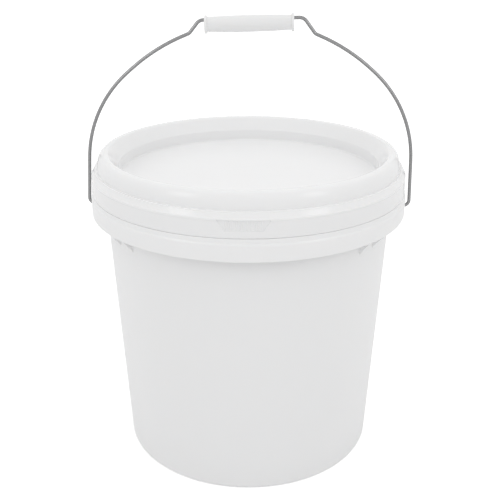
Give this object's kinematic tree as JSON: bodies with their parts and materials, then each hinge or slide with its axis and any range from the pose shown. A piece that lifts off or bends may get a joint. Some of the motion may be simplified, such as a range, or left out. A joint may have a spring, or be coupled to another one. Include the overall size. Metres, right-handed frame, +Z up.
{
  "type": "plastic bucket",
  "caption": "Round white plastic pail with a snap-fit lid, a steel wire bail and a loose tube grip, for storing and carrying liquids or dry goods.",
  "frame": {"origin": "centre of the base, on the plane that the standing ring rests on", "axes": "+Z up along the pail's axis; X along the line through the two bail pivots; -Y towards the lid's ribbed tab"},
  "size_m": [0.2842, 0.2738, 0.3813],
  "materials": {
    "pail_plastic": "satin white moulded plastic, slightly translucent",
    "lid_plastic": "soft gloss white moulded plastic",
    "steel_wire": "drawn galvanised steel wire",
    "grip_plastic": "satin white moulded plastic"
  },
  "bodies": {
    "pail_body": {"pail": "pail_plastic", "lid": "lid_plastic"},
    "bail": {"bail_wire": "steel_wire"},
    "grip": {"grip": "grip_plastic"}
  },
  "joints": [
    {"name": "bail_swing", "type": "hinge", "parent": "pail_body", "child": "bail", "pos_m": [0, 0, 0.218], "axis": [1, 0, 0], "range_deg": [-124, 124]},
    {"name": "grip_spin", "type": "hinge", "parent": "bail", "child": "grip", "pos_m": [0.00237, 0, 0.3759], "axis": [0.9996, 0, 0.0284], "continuous": true}
  ]
}
